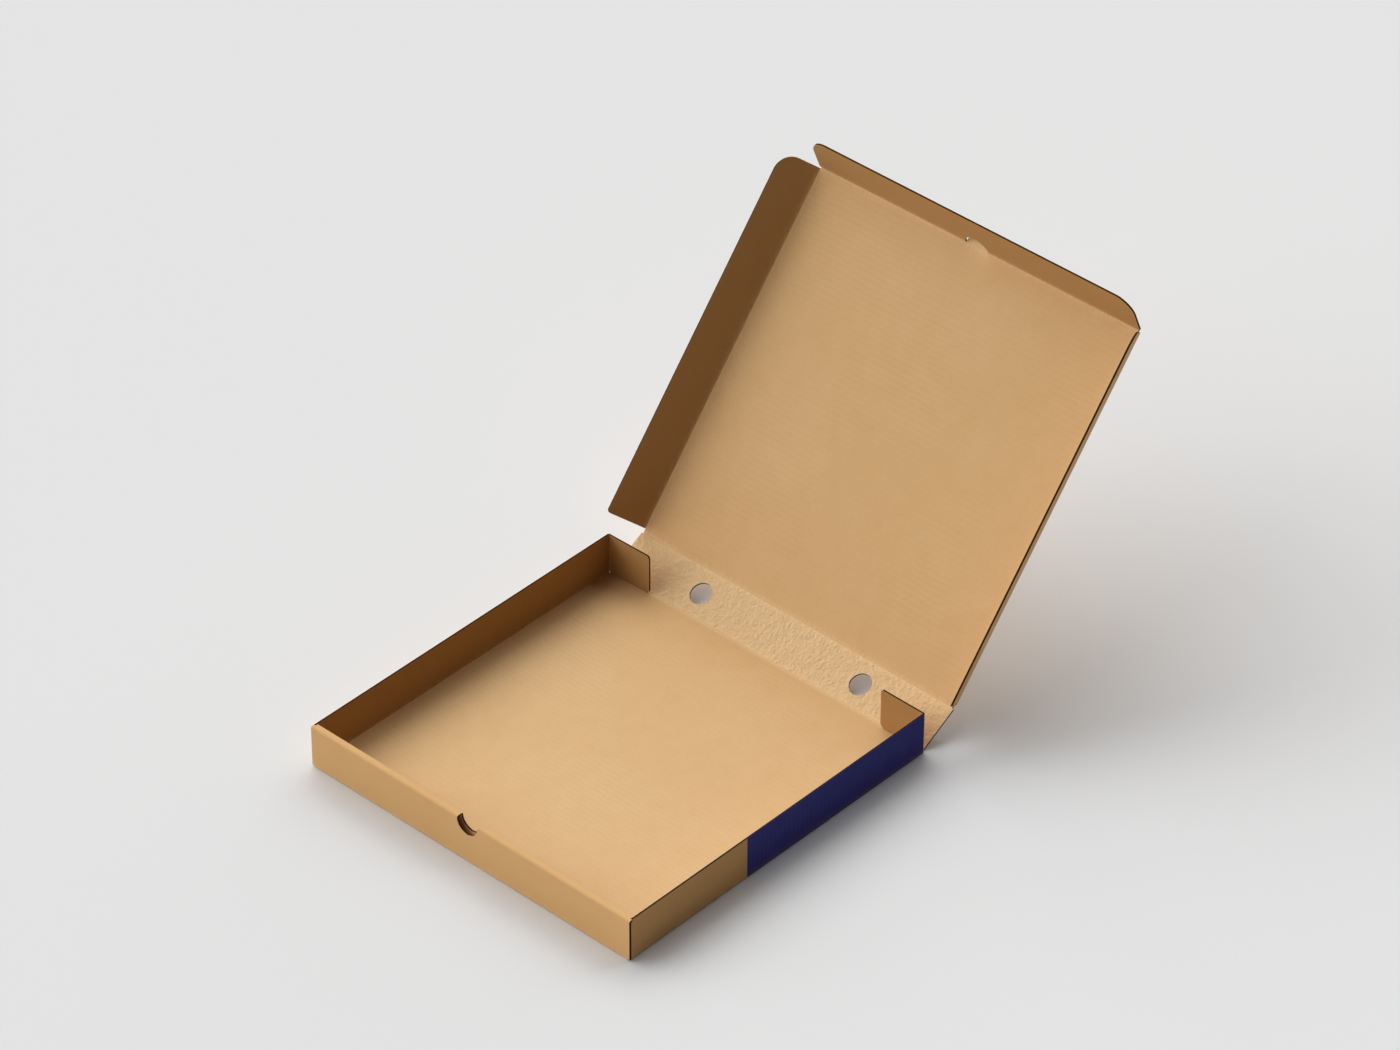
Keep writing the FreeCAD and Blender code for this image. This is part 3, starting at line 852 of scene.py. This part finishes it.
def cut_board(name, colour):
    """Rough paper for the fluting, cut edges and hollows, paler where it frays; painted shade
    darkens it, fully in the hollows and partly in the fluting.
    """
    _, nodes, shader = new_material(name, CUT_ROUGHNESS)
    place = nodes.add("ShaderNodeTexCoord").outputs["Object"]
    fray = nodes.step(nodes.noise(place, *FRAY_NOISE), *FRAY_LEVELS)
    nodes.feed(shader, {
        "Base Color": nodes.mix(fray, rgba(colour), rgba(colour, FRAY_SHADE)),
        "Normal": nodes.bump(nodes.noise(place, *CUT_NOISE), CUT_RELIEF),
    })


def board_materials():
    """The finishes in slot order, made once."""
    finish = bpy.context.scene.box_finish
    # The hollows' material is painted shade.
    names = ("kraft_inside", "kraft_outside", "kraft_printed", "hollow_board", "fluting")
    if names[0] not in bpy.data.materials:
        kraft(names[INSIDE], finish.inside_deep, finish.inside_pale, RIPPLE_IN, PAINTED_SHADE_IN)
        for slot, ink in ((OUTSIDE, None), (PRINTED, finish.ink)):
            kraft(names[slot], finish.outside_deep, finish.outside_pale, RIPPLE_OUT,
                  PAINTED_SHADE_OUT, ink)
        cut_board(names[HOLLOW_SHADE], finish.cut)
        cut_board(names[FLUTE], finish.fluting)
    return [bpy.data.materials[name] for name in names]


# Pieces


def front_wall(mesh, found):
    """Outer layer, roll and inner layer, with the thumb notch through all of them.

    The notch's half width at level z is r above its middle c, and
    sqrt(r^2 - (z - c)^2) below it.
    """
    board, tray = bpy.context.scene.box_board, bpy.context.scene.box_tray
    low, high = found["low"], found["high"]
    half = board.thickness / 2
    path = Rolled(low[1], high[2], tray.roll, half, tray.bend, board.thickness,
                  board.thickness + tray.gap)
    middle = high[2] - tray.notch_depth + tray.notch

    def gap(rows):
        level = path.at(rows)[0][:, 1]
        below = np.clip(middle - level, 0, tray.notch)
        return np.sqrt(tray.notch ** 2 - below ** 2)

    def end(rows):
        inside = high[0] - board.thickness - tray.gap
        return np.where(rows < path.over, high[0], inside)

    spans = ((lambda rows: -end(rows), lambda rows: -gap(rows)), (gap, end))
    mesh.board(found["tray"], path, spans, start=-path.rise, parts=12, worn=("start",),
               tone=PAINTED_LIGHT_TONES["front_wall"])
    corner = found["tray"].shifted(run=low[1] + board.thickness, inward=board.thickness)
    quarter(mesh, corner, 1.5 * math.pi, math.pi, low[0] + board.thickness,
            high[0] - board.thickness)


def side_wall(mesh, found, side):
    """Side wall, stepped round the front wall's roll, with the fold at its foot.

    Its top is at the roll's middle + sqrt(r^2 - d^2) under the roll, with d the
    distance from the roll's middle, and level behind it.
    """
    board, tray = bpy.context.scene.box_board, bpy.context.scene.box_tray
    low, high = found["low"], found["high"]
    outer = PRINTED if side == "right" else OUTSIDE
    roll_middle = low[1] + tray.roll
    inner = tray.roll - board.thickness - tray.gap
    begin = low[1] + board.thickness + tray.gap * 2
    step = roll_middle + tray.gap
    stop = fold_point("%s_dust_flap_fold" % side)[1]

    def top(rows):
        turn = np.clip(roll_middle - rows, 0, inner)
        arc = high[2] - tray.roll + np.sqrt(inner ** 2 - turn ** 2)
        return np.where(rows < step, arc, high[2])

    path = Straight(begin, stop, dense=((begin, step),))
    path.rows = np.unique(np.append(path.rows, [step - JUMP, step]))
    mesh.board(found[side + "_wall"], path, ((constant(board.thickness), top),), outer=outer,
               parts=6, worn=("left",), tone=PAINTED_LIGHT_TONES["side_wall"])
    sign = -1 if side == "left" else 1
    fold = Place((sign * (high[0] - board.thickness), 0, board.thickness), Y, X * sign, Z)
    quarter(mesh, fold, 1.5 * math.pi, 2 * math.pi, begin, stop, outer=outer, swap=True)


def corner_tab(mesh, found, side):
    """Corner tab, turned in from a side wall between the front wall's layers."""
    board, tray = bpy.context.scene.box_board, bpy.context.scene.box_tray
    low, high = found["low"], found["high"]
    sign = -1 if side == "left" else 1
    inside = high[0] - board.thickness
    origin = (sign * inside, low[1] + board.thickness * 1.5 + tray.gap, 0)
    place = Place(origin, Z, X * -sign, Y)
    path = Straight(0.0, tray.tab)
    mesh.board(place, path, ((constant(tray.tab_foot), constant(high[2] - tray.roll)),), parts=4)


class PIZZABOX_OT_tray(Operator):
    """Fold the tray: base, side walls, rolled front wall and corner tabs"""

    bl_idname = "pizza_box.tray"
    bl_label = "Tray"

    def execute(self, context):
        """One mesh of board runs stands for the tray.

        The base's tone, its painted light, falls to a painted shade at the rear, where the lid
        shades it, by the cube of its share of the way there.
        """
        found = places()
        board = context.scene.box_board
        high = found["high"]
        mesh = BoardMesh("tray_board")
        inside = high[0] - board.thickness
        dust = fold_point("left_dust_flap_fold")[1]
        narrow = float(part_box("rear_wall")[1].x)
        stop = fold_point("rear_wall_fold")[1] - board.crease

        def edge(sign):
            return lambda rows: sign * np.where(rows < dust, inside, narrow)

        # Painted shade: the base darkens towards the rear, where the lid shades it.
        def shade(rows):
            return BASE_LIGHT_TONE - BASE_SHADE_FALL * np.clip(rows / stop, 0, 1) ** 3

        path = Straight(found["low"][1] + board.thickness, stop, dense=((stop - BASE_END, stop),))
        path.rows = np.unique(np.append(path.rows, [dust - JUMP, dust]))
        mesh.board(found["base"], path, ((edge(-1), edge(1)),), parts=28, tone=shade,
                   crumple=BASE_CRUMPLE, worn=("start", "end", "left", "right"))
        front_wall(mesh, found)
        for side in ("left", "right"):
            side_wall(mesh, found, side)
            corner_tab(mesh, found, side)
        finish_piece(mesh, "tray", "tray")
        return {"FINISHED"}


class PIZZABOX_OT_rear_wall(Operator):
    """Cut the rear wall with its two round vents"""

    bl_idname = "pizza_box.rear_wall"
    bl_label = "Rear wall"

    def execute(self, context):
        """Three spans of board between the wall's ends and the vents' round sides."""
        found = places()
        board, tray = context.scene.box_board, context.scene.box_tray
        narrow = float(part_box("rear_wall")[1].x)
        centre, radius = tray.vent_height, tray.vent
        path = Straight(board.crease, found["wall_length"] - board.crease,
                        dense=((centre - radius, centre + radius),), step=0.003)
        sides = [(holed(offset, -1, centre, radius), holed(offset, 1, centre, radius))
                 for offset in (-tray.vent_offset, tray.vent_offset)]
        spans = ((constant(-narrow), sides[0][0]), (sides[0][1], sides[1][0]),
                 (sides[1][1], constant(narrow)))
        mesh = BoardMesh("rear_wall_board")
        mesh.board(found["rear_wall"], path, spans, parts=16,
                   tone=PAINTED_LIGHT_TONES["rear_wall"], crumple=REAR_WALL_CRUMPLE, worn=("start", "end"))
        finish_piece(mesh, "rear_wall", "rear_wall")
        return {"FINISHED"}


class PIZZABOX_OT_lid(Operator):
    """Cut the lid panel with its half-round thumb tab"""

    bl_idname = "pizza_box.lid"
    bl_label = "Lid"

    def execute(self, context):
        """A bowed panel: its bow is h sin(pi v / L) cos(pi u / 2a), outward."""
        found = places()
        board, flaps = context.scene.box_board, context.scene.box_flaps
        length, half = found["lid_length"], found["lid_half"]
        edge = half - board.crease

        def bow(u, a):
            rise = np.sin(math.pi * np.clip(a / length, 0, 1))
            return -board.bow * rise * np.cos(math.pi / 2 * np.clip(u / edge, -1, 1))

        mesh = BoardMesh("lid_board")
        path = Straight(board.crease, length - board.crease, step=0.009)
        mesh.board(found["lid"], path, ((constant(-edge), constant(edge)),), parts=32, bow=bow,
                   worn=("start", "end", "left", "right"), crumple=LID_CRUMPLE,
                   tone=PAINTED_LIGHT_TONES["lid"])
        radius = tab_radius(flaps)
        back = length + flaps.tab_reach - radius

        def tab(rows):
            ahead = np.clip(rows, length, None) - back
            return np.minimum(flaps.tab_half, np.sqrt(np.clip(radius ** 2 - ahead ** 2, 0, None)))

        path = Straight(length - board.crease, length + flaps.tab_reach,
                        dense=((length, length + flaps.tab_reach),), step=0.001)
        mesh.board(found["lid"], path, ((lambda rows: -tab(rows), tab),), parts=8)
        finish_piece(mesh, "lid", "lid")
        return {"FINISHED"}


def tab_radius(flaps):
    """(c^2 + r^2) / 2r, from half the chord and the reach."""
    return (flaps.tab_half ** 2 + flaps.tab_reach ** 2) / (2 * flaps.tab_reach)


class PIZZABOX_OT_lid_flaps(Operator):
    """Cut the lid's two side flaps and its front flap"""

    bl_idname = "pizza_box.lid_flaps"
    bl_label = "Lid flaps"

    def execute(self, context):
        """Runs of board whose free corners are rounded."""
        found = places()
        board, flaps = context.scene.box_board, context.scene.box_flaps
        low, high = flaps.rear_start, found["lid_length"] - flaps.front_stop
        rear, front = flaps.rear_corner, flaps.front_corner
        for name in ("lid_left_flap", "lid_right_flap"):
            outline = rounded(flaps.depth, 1, low, high, rear, front)
            path = Straight(low, high, dense=((low, low + rear * 2), (high - front * 2, high)))
            mesh = BoardMesh(name + "_board")
            mesh.board(found[name], path, ((constant(board.crease), outline),), parts=8,
                       worn=("left",), tone=PAINTED_LIGHT_TONES["side_flap"])
            finish_piece(mesh, name, name)
        self.front(context, found)
        return {"FINISHED"}

    def front(self, context, found):
        """Front flap: the slot's half width follows the thumb tab's round edge."""
        board, flaps = context.scene.box_board, context.scene.box_flaps
        end = float(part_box("lid_front_flap")[1].x)
        depth, corner = flaps.depth, flaps.front_corner
        radius = tab_radius(flaps) + flaps.tab_gap
        reach = flaps.tab_reach + flaps.tab_gap

        def slot(rows):
            ahead = rows - reach + radius
            arc = np.sqrt(np.clip(radius ** 2 - ahead ** 2, 0, None))
            arc = np.where(rows < reach, arc, 0.0)
            return np.where(rows < flaps.tab_shoulder, flaps.tab_half + flaps.tab_gap, arc)

        outline = [rounded(end * sign, sign, 0.0, depth, 0.0, corner) for sign in (-1, 1)]
        path = Straight(board.crease, depth, dense=((depth - 2 * corner, depth), (0, reach)),
                        step=0.003)
        step = flaps.tab_shoulder
        path.rows = np.unique(np.append(path.rows, [step - JUMP, step, reach]))
        spans = ((outline[0], lambda rows: -slot(rows)), (slot, outline[1]))
        mesh = BoardMesh("lid_front_flap_board")
        mesh.board(found["lid_front_flap"], path, spans, parts=16, worn=("start",),
                   tone=PAINTED_LIGHT_TONES["front_flap"])
        finish_piece(mesh, "lid_front_flap", "lid_front_flap")


class PIZZABOX_OT_dust_flaps(Operator):
    """Cut the two dust flaps"""

    bl_idname = "pizza_box.dust_flaps"
    bl_label = "Dust flaps"

    def execute(self, context):
        """Upright runs of board with two rounded corners."""
        found = places()
        board, flaps = context.scene.box_board, context.scene.box_flaps
        for side in ("left", "right"):
            name = side + "_dust_flap"
            low, high = (float(corner.z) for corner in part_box(name))
            top = rounded(high, 1, 0.0, flaps.dust_length, 0.0, flaps.dust_corner)
            heel = rounded(low, -1, 0.0, flaps.dust_length, 0.0, flaps.dust_heel)
            path = Straight(0.0, flaps.dust_length, offset=-board.thickness / 2,
                            dense=((flaps.dust_length - DUST_END, flaps.dust_length),),
                            step=0.006)
            mesh = BoardMesh(name + "_board")
            mesh.board(found[name], path, ((heel, top),), parts=6, worn=("start",),
                       tone=PAINTED_LIGHT_TONES["dust_flap"])
            finish_piece(mesh, name, name)
        return {"FINISHED"}


class PIZZABOX_OT_creases(Operator):
    """Join the panels with creased board, bent at the folds as they stand"""

    bl_idname = "pizza_box.creases"
    bl_label = "Creases"

    def execute(self, context):
        """Each crease turns smoothly between the two panels beside it, as they stand."""
        found = places()
        board, flaps = context.scene.box_board, context.scene.box_flaps
        narrow = float(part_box("rear_wall")[1].x)
        half, length = found["lid_half"], found["lid_length"]
        slope = float(np.arctan2(found["rear_wall"].run[2], found["rear_wall"].run[1]))
        tilt = float(np.arctan2(found["lid"].run[2], found["lid"].run[1]))
        base = found["base"].shifted(run=fold_point("rear_wall_fold")[1])
        self.bend("rear_crease", "tray", "rear_wall", base, slope, ((-narrow, narrow),),
                  PAINTED_LIGHT_TONES["rear_crease"])
        wall = found["rear_wall"].shifted(run=found["wall_length"])
        self.bend("lid_crease", "rear_wall", "lid", wall, tilt - slope,
                  ((-half + board.crease, half - board.crease),), PAINTED_LIGHT_TONES["lid_crease"])
        lid = found["lid"]
        slot = flaps.tab_half + flaps.tab_gap
        spans = ((-half + board.crease, -slot), (slot, half - board.crease))
        self.bend("lid_front_crease", "lid", "lid_front_flap", lid.shifted(run=length),
                  fold_angle("lid_front_flap_fold"), spans, PAINTED_LIGHT_TONES["flap_crease"])
        span = ((flaps.rear_start, length - flaps.front_stop),)
        for side, sign in (("left", -1), ("right", 1)):
            name = "lid_%s_flap" % side
            place = Place(lid.origin + X * sign * half, lid.run, X * sign, lid.inward)
            self.bend("lid_%s_crease" % side, "lid", name, place,
                      fold_angle(name + "_fold"), span, PAINTED_LIGHT_TONES["flap_crease"], swap=True)
            name = "%s_dust_flap" % side
            flap = found[name]
            foot, top = (float(corner.z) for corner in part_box(name))
            place = Place(flap.origin, Z, X * sign, Y)
            mesh = BoardMesh("%s_dust_crease" % side)
            quarter(mesh, place, 0.0, math.pi / 2 + flaps.dust_splay, foot, top)
            item = mesh.build(board_materials())
            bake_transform(item)
        return {"FINISHED"}

    def bend(self, label, parent, child, place, angle, spans, tone, swap=False):
        """A crease whose two ends meet the panels on its two sides as they stand."""
        mesh = BoardMesh(label)
        for left, right in spans:
            crease(mesh, place, angle, left, right, swap, tone)
        item = mesh.build(board_materials())
        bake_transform(item)


# Stage


CAMERA_AT = (2.5727, -2.7024, 3.0770)
CAMERA_TURN = (math.radians(-42.664), math.radians(37.41), math.radians(0.12))
CAMERA_LENS = 163.53

# Each lamp's name, its strength's setting, its width in degrees and where it stands.
LAMPS = (
    ("key_light", "key", 50.0, (-0.64, 0.25, 0.73)),
    ("side_light", "side", 50.0, (-0.80, -0.45, 0.40)),
    ("front_light", "front", 60.0, (-0.50, -0.62, 0.60)),
    ("back_light", "back", 60.0, (-0.10, 0.80, 0.60)),
)

# The floor: metres from its middle to its edge and down from the tray, and its lines.
FLOOR_REACH = 9.0
FLOOR_DROP = 0.00002
FLOOR_LINES = 19


def camera_matrix(location, turn):
    """Camera that looks along (sin y cos p, cos y cos p, -sin p), rolled about it."""
    yaw, pitch, roll = turn
    ahead = Vector((math.sin(yaw) * math.cos(pitch), math.cos(yaw) * math.cos(pitch),
                    -math.sin(pitch)))
    level = Vector((math.cos(yaw), -math.sin(yaw), 0.0))
    rise = level.cross(ahead)
    right = level * math.cos(roll) + rise * math.sin(roll)
    up = rise * math.cos(roll) - level * math.sin(roll)
    rows = Matrix((right, up, -ahead)).transposed().to_4x4()
    return Matrix.Translation(location) @ rows


def lamp(name, strength, angle, towards):
    """Soft distant lamp that stands in the given direction."""
    light = bpy.data.lights.new(name, "SUN")
    light.energy = strength
    light.angle = math.radians(angle)
    item = add_object(name, light)
    item.rotation_euler = Vector(towards).to_track_quat("Z", "Y").to_euler()


class PIZZABOX_OT_stage(Operator):
    """Lay the floor and set the lamps and the camera"""

    bl_idname = "pizza_box.stage"
    bl_label = "Stage"

    def execute(self, context):
        """A plain pale floor under four soft lamps."""
        scene, stage = context.scene, context.scene.box_stage
        line = np.linspace(-FLOOR_REACH, FLOOR_REACH, FLOOR_LINES)
        x, y = np.meshgrid(line, line)
        points = np.stack([x, y, np.full_like(x, -FLOOR_DROP)], -1).reshape(-1, 3)
        mesh = bpy.data.meshes.new("floor")
        mesh.from_pydata(points.tolist(), [], quads(np.arange(x.size).reshape(x.shape)).tolist())
        floor = add_object("floor", mesh)
        material, _, shader = new_material("floor_paint", FLOOR_ROUGHNESS)
        shader.inputs["Base Color"].default_value = rgba(stage.floor)
        mesh.materials.append(material)
        for name, setting, width, towards in LAMPS:
            lamp(name, getattr(stage, setting), width, towards)
        world = bpy.data.worlds.new("room")
        scene.world = world
        world.use_nodes = True
        world.node_tree.nodes.clear()
        nodes = Nodes(world.node_tree)
        path = nodes.add("ShaderNodeLightPath")
        seen = nodes.math("MAXIMUM", path.outputs["Is Camera Ray"],
                          nodes.math("MAXIMUM", path.outputs["Is Glossy Ray"],
                                     path.outputs["Is Transmission Ray"]))
        level = nodes.plus(nodes.times(seen, stage.backdrop - stage.ambient), stage.ambient)
        background = nodes.add("ShaderNodeBackground", {"Color": (1, 1, 1, 1), "Strength": level})
        nodes.add("ShaderNodeOutputWorld", {0: background.outputs[0]})
        data = bpy.data.cameras.new("camera")
        data.sensor_fit = "HORIZONTAL"
        data.sensor_width = 36.0
        data.lens = CAMERA_LENS
        data.clip_end = 100.0
        camera = add_object("camera", data)
        camera.matrix_world = camera_matrix(CAMERA_AT, CAMERA_TURN)
        scene.camera = camera
        scene.view_settings.view_transform = "Standard"
        return {"FINISHED"}


PIECES = (PIZZABOX_OT_tray, PIZZABOX_OT_rear_wall, PIZZABOX_OT_lid, PIZZABOX_OT_lid_flaps,
          PIZZABOX_OT_dust_flaps, PIZZABOX_OT_creases, PIZZABOX_OT_stage)


class PIZZABOX_PT_panel(Panel):
    """Sizes, colours and pieces of the pizza box"""

    bl_idname = "PIZZABOX_PT_panel"
    bl_label = "Pizza Box"
    bl_space_type = "VIEW_3D"
    bl_region_type = "UI"
    bl_category = "Pizza Box"

    def draw(self, context):
        """Every setting, then a button for each piece."""
        for name, group in GROUPS.items():
            box = self.layout.box()
            box.label(text=group.__doc__)
            for key in group.__annotations__:
                box.prop(getattr(context.scene, name), key)
        for operator in PIECES:
            self.layout.operator(operator.bl_idname)


CLASSES = (*GROUPS.values(), *PIECES, PIZZABOX_PT_panel)


def register():
    """Register the classes and hang the settings on the scene."""
    for item in CLASSES:
        bpy.utils.register_class(item)
    for name, group in GROUPS.items():
        setattr(bpy.types.Scene, name, PointerProperty(type=group))


def unregister():
    """Take the settings and the classes away again."""
    for name in GROUPS:
        delattr(bpy.types.Scene, name)
    for item in reversed(CLASSES):
        bpy.utils.unregister_class(item)


def main():
    """Make every piece."""
    register()
    bpy.ops.pizza_box.stage()
    bpy.ops.pizza_box.tray()
    bpy.ops.pizza_box.rear_wall()
    bpy.ops.pizza_box.lid()
    bpy.ops.pizza_box.lid_flaps()
    bpy.ops.pizza_box.dust_flaps()
    bpy.ops.pizza_box.creases()


if __name__ == "__main__":
    main()
